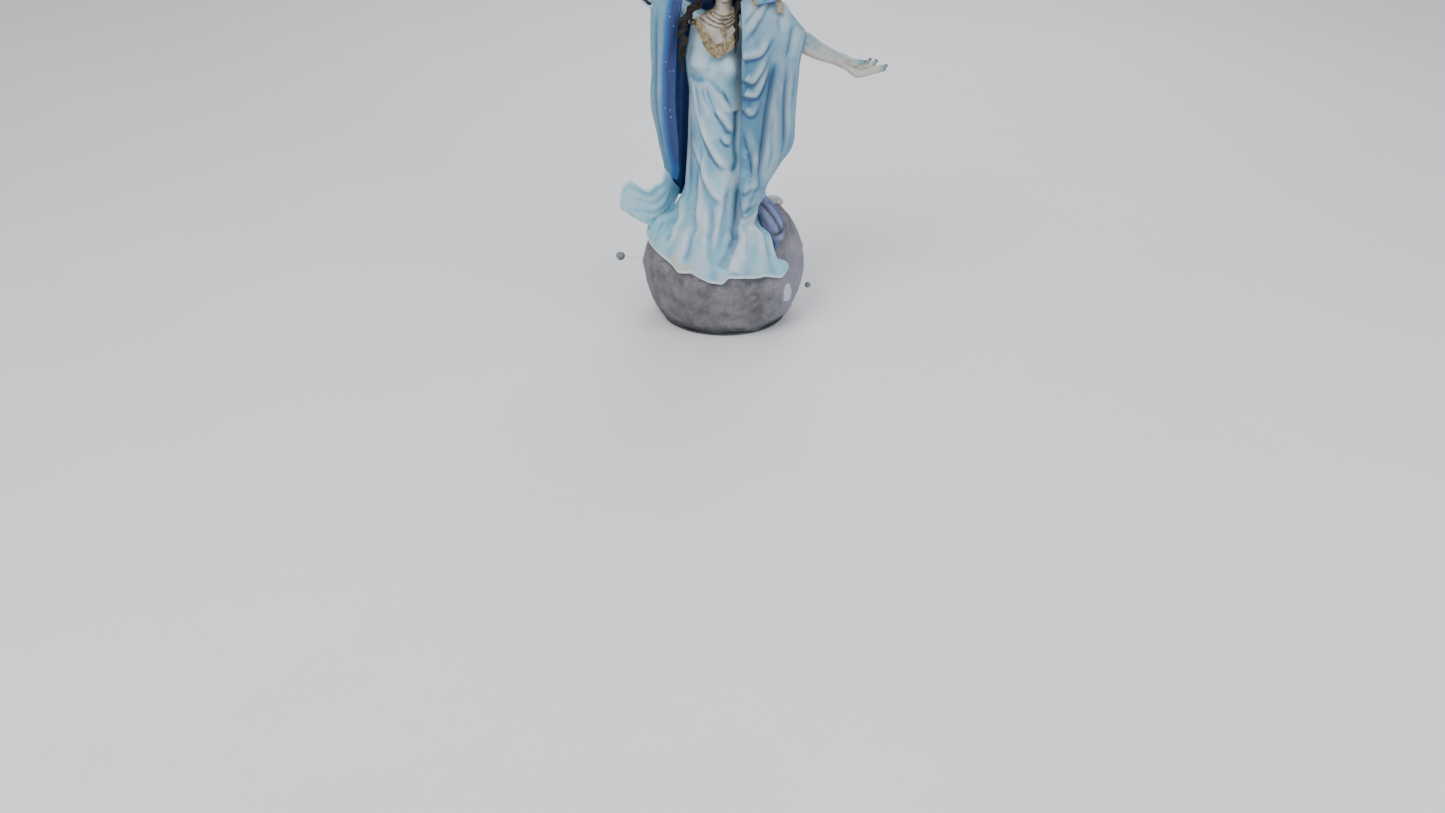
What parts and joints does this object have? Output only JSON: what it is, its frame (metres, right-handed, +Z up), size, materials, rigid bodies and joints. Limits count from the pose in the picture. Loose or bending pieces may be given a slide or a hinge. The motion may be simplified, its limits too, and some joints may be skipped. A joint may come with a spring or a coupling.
{
  "type": "madonna statue",
  "caption": "Standing robed madonna figurine with outstretched arms, veil and mantle on a round boulder, cast in pieces and tied by a rod.",
  "frame": {"origin": "centre of the felt under the boulder, on the surface it stands on", "axes": "+Z up; the figure faces -Y; the outstretched arm points to +X"},
  "size_m": [0.2151, 0.1352, 0.3031],
  "materials": {
    "moon_rock": "stone-effect cast resin, dry matt",
    "ply": "plain birch ply",
    "zinc_steel": "zinc plated",
    "felt": "pressed felt",
    "insert_brass": "knurled, turned",
    "gown_paint": "airbrushed white and pale blue, matt",
    "ivory_skin": "aged ivory, satin",
    "pin_steel": "drawn steel",
    "hair_paint": "dry-brushed dark brown",
    "mantle_paint": "airbrushed light blue with blue fold lines",
    "lining_paint": "airbrushed navy shading to light blue, star specks",
    "lavender_paint": "lavender blue, matt",
    "antique_gold": "antique gold paint, brown wash",
    "bronze_paint": "dark bronze paint",
    "quartz": "milky, polished",
    "slate_bead": "mottled slate, satin",
    "clear_acrylic": "clear acrylic rod"
  },
  "bodies": {
    "root": {"rock_base": "moon_rock", "base_plate": "ply", "plate_screws": "zinc_steel", "felt_pad": "felt", "tie_rod": "zinc_steel", "tie_nut": "zinc_steel", "tie_washer": "zinc_steel", "brass_insert": "insert_brass", "gown": "gown_paint", "torso": "ivory_skin", "head": "ivory_skin", "neck_pin": "pin_steel", "hair_back": "hair_paint", "hair_lock_left": "hair_paint", "hair_lock_right": "hair_paint", "outstretched_arm": "ivory_skin", "outstretched_hand": "ivory_skin", "outstretched_pins": "pin_steel", "raised_arm": "ivory_skin", "raised_hand": "ivory_skin", "raised_pins": "pin_steel", "raised_sleeve": "gown_paint", "veil_hood": "mantle_paint", "veil_trim": "antique_gold", "veil_tassel": "antique_gold", "mantle_back": "lining_paint", "mantle_front_fall": "mantle_paint", "mantle_train": "mantle_paint", "mantle_hem_curl": "lavender_paint", "lace_collar": "antique_gold", "necklace": "antique_gold", "shoulder_brooch": "bronze_paint", "quartz_pebble": "quartz", "bead_left": "slate_bead", "bead_left_pin": "clear_acrylic", "bead_right": "slate_bead", "bead_right_pin": "clear_acrylic"}
  },
  "joints": []
}
